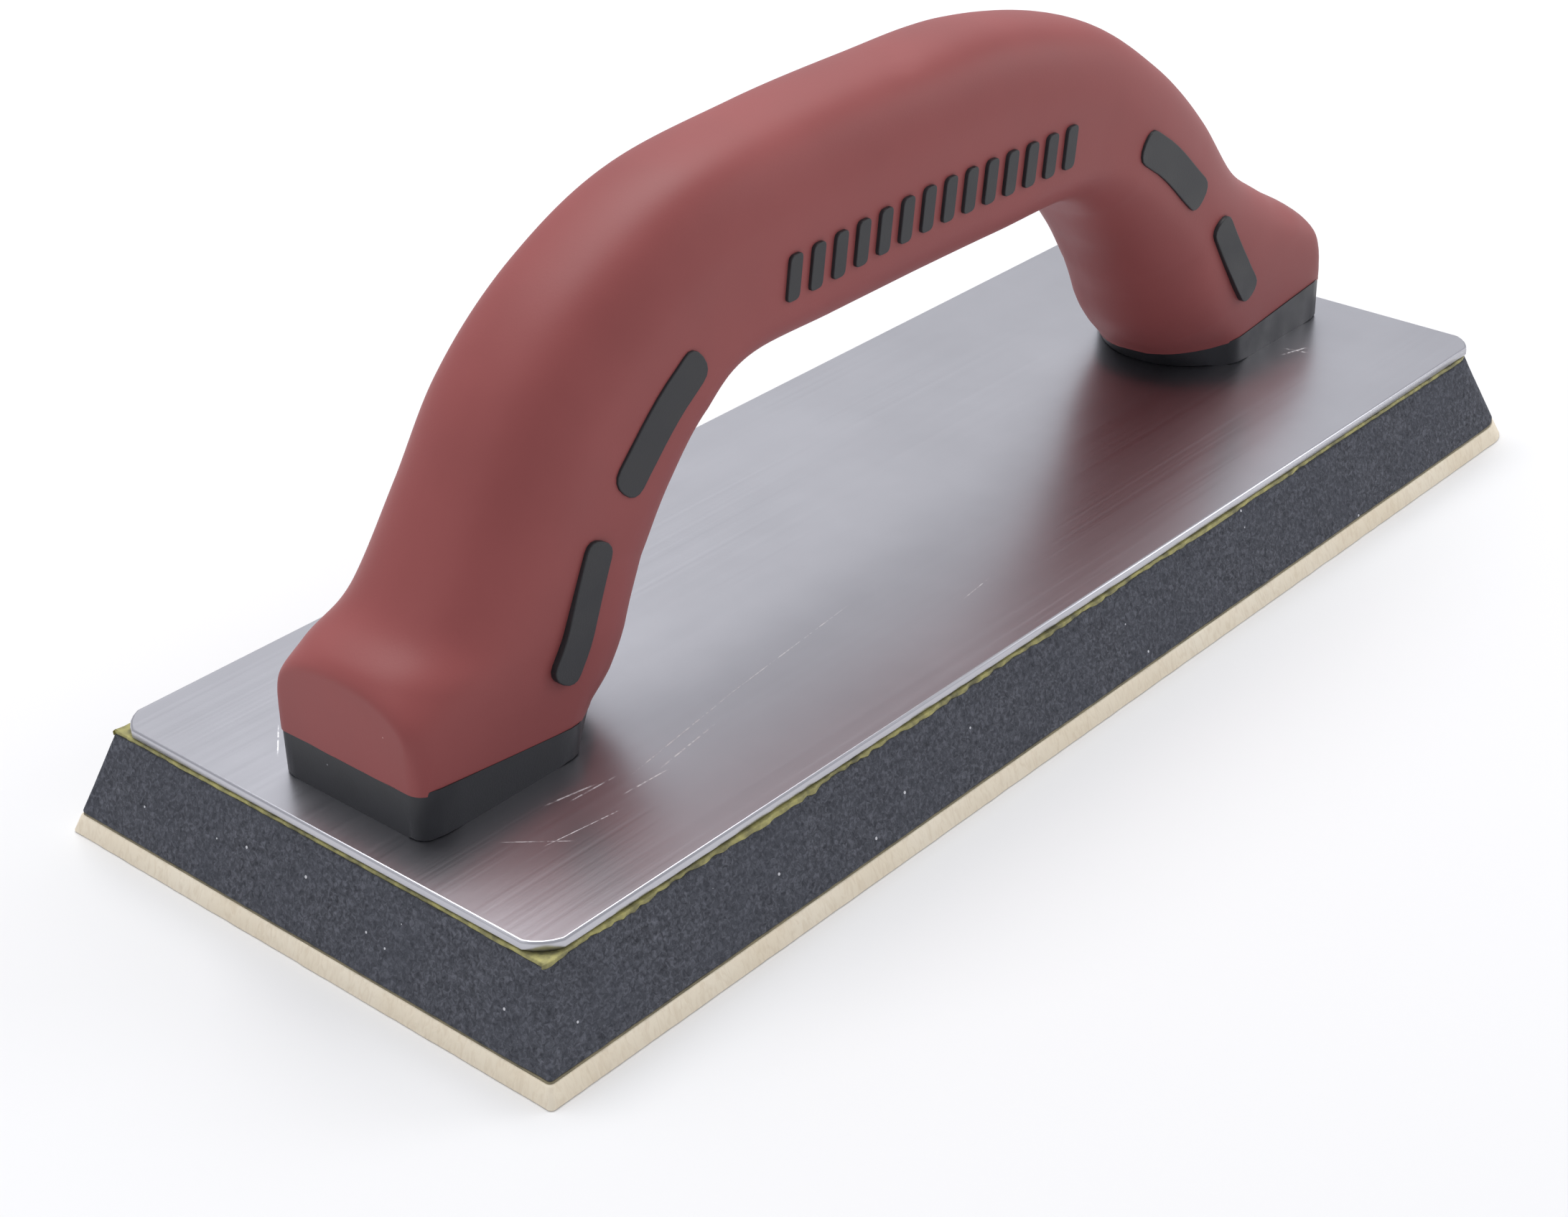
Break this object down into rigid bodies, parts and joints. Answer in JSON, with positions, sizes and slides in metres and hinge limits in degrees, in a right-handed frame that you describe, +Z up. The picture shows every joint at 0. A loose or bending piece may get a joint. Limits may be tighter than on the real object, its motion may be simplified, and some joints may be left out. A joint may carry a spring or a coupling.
{
  "type": "rubber grout float",
  "caption": "Hand float for grouting: a flat gum-rubber face and sponge pad under a thin metal plate, with a long bridge handle along it.",
  "frame": {"origin": "centre of the gum-rubber working face, on the surface that the float rests on", "axes": "+X along the blade and the handle, towards the end with the rounded pad corners; +Y across the blade; +Z up, from the face to the handle"},
  "size_m": [0.254, 0.1016, 0.0962],
  "materials": {
    "gum_rubber": "cut gum rubber, matte",
    "contact_cement": "dried contact cement, waxy",
    "sponge_rubber": "closed-cell sponge rubber, knife cut, matte",
    "aluminium_sheet": "mill finish, faintly brushed along its length",
    "black_plastic": "moulded, satin",
    "soft_grip": "red-brown soft overmoulding, fine matte",
    "zinc_steel": "zinc plated"
  },
  "bodies": {
    "root": {"gum_face": "gum_rubber", "face_adhesive": "contact_cement", "foam_pad": "sponge_rubber", "plate_adhesive": "contact_cement", "backing_plate": "aluminium_sheet", "handle_core": "black_plastic", "handle_grip": "soft_grip", "handle_screw_1": "zinc_steel", "handle_screw_2": "zinc_steel", "handle_screw_3": "zinc_steel", "handle_screw_4": "zinc_steel"}
  },
  "joints": []
}
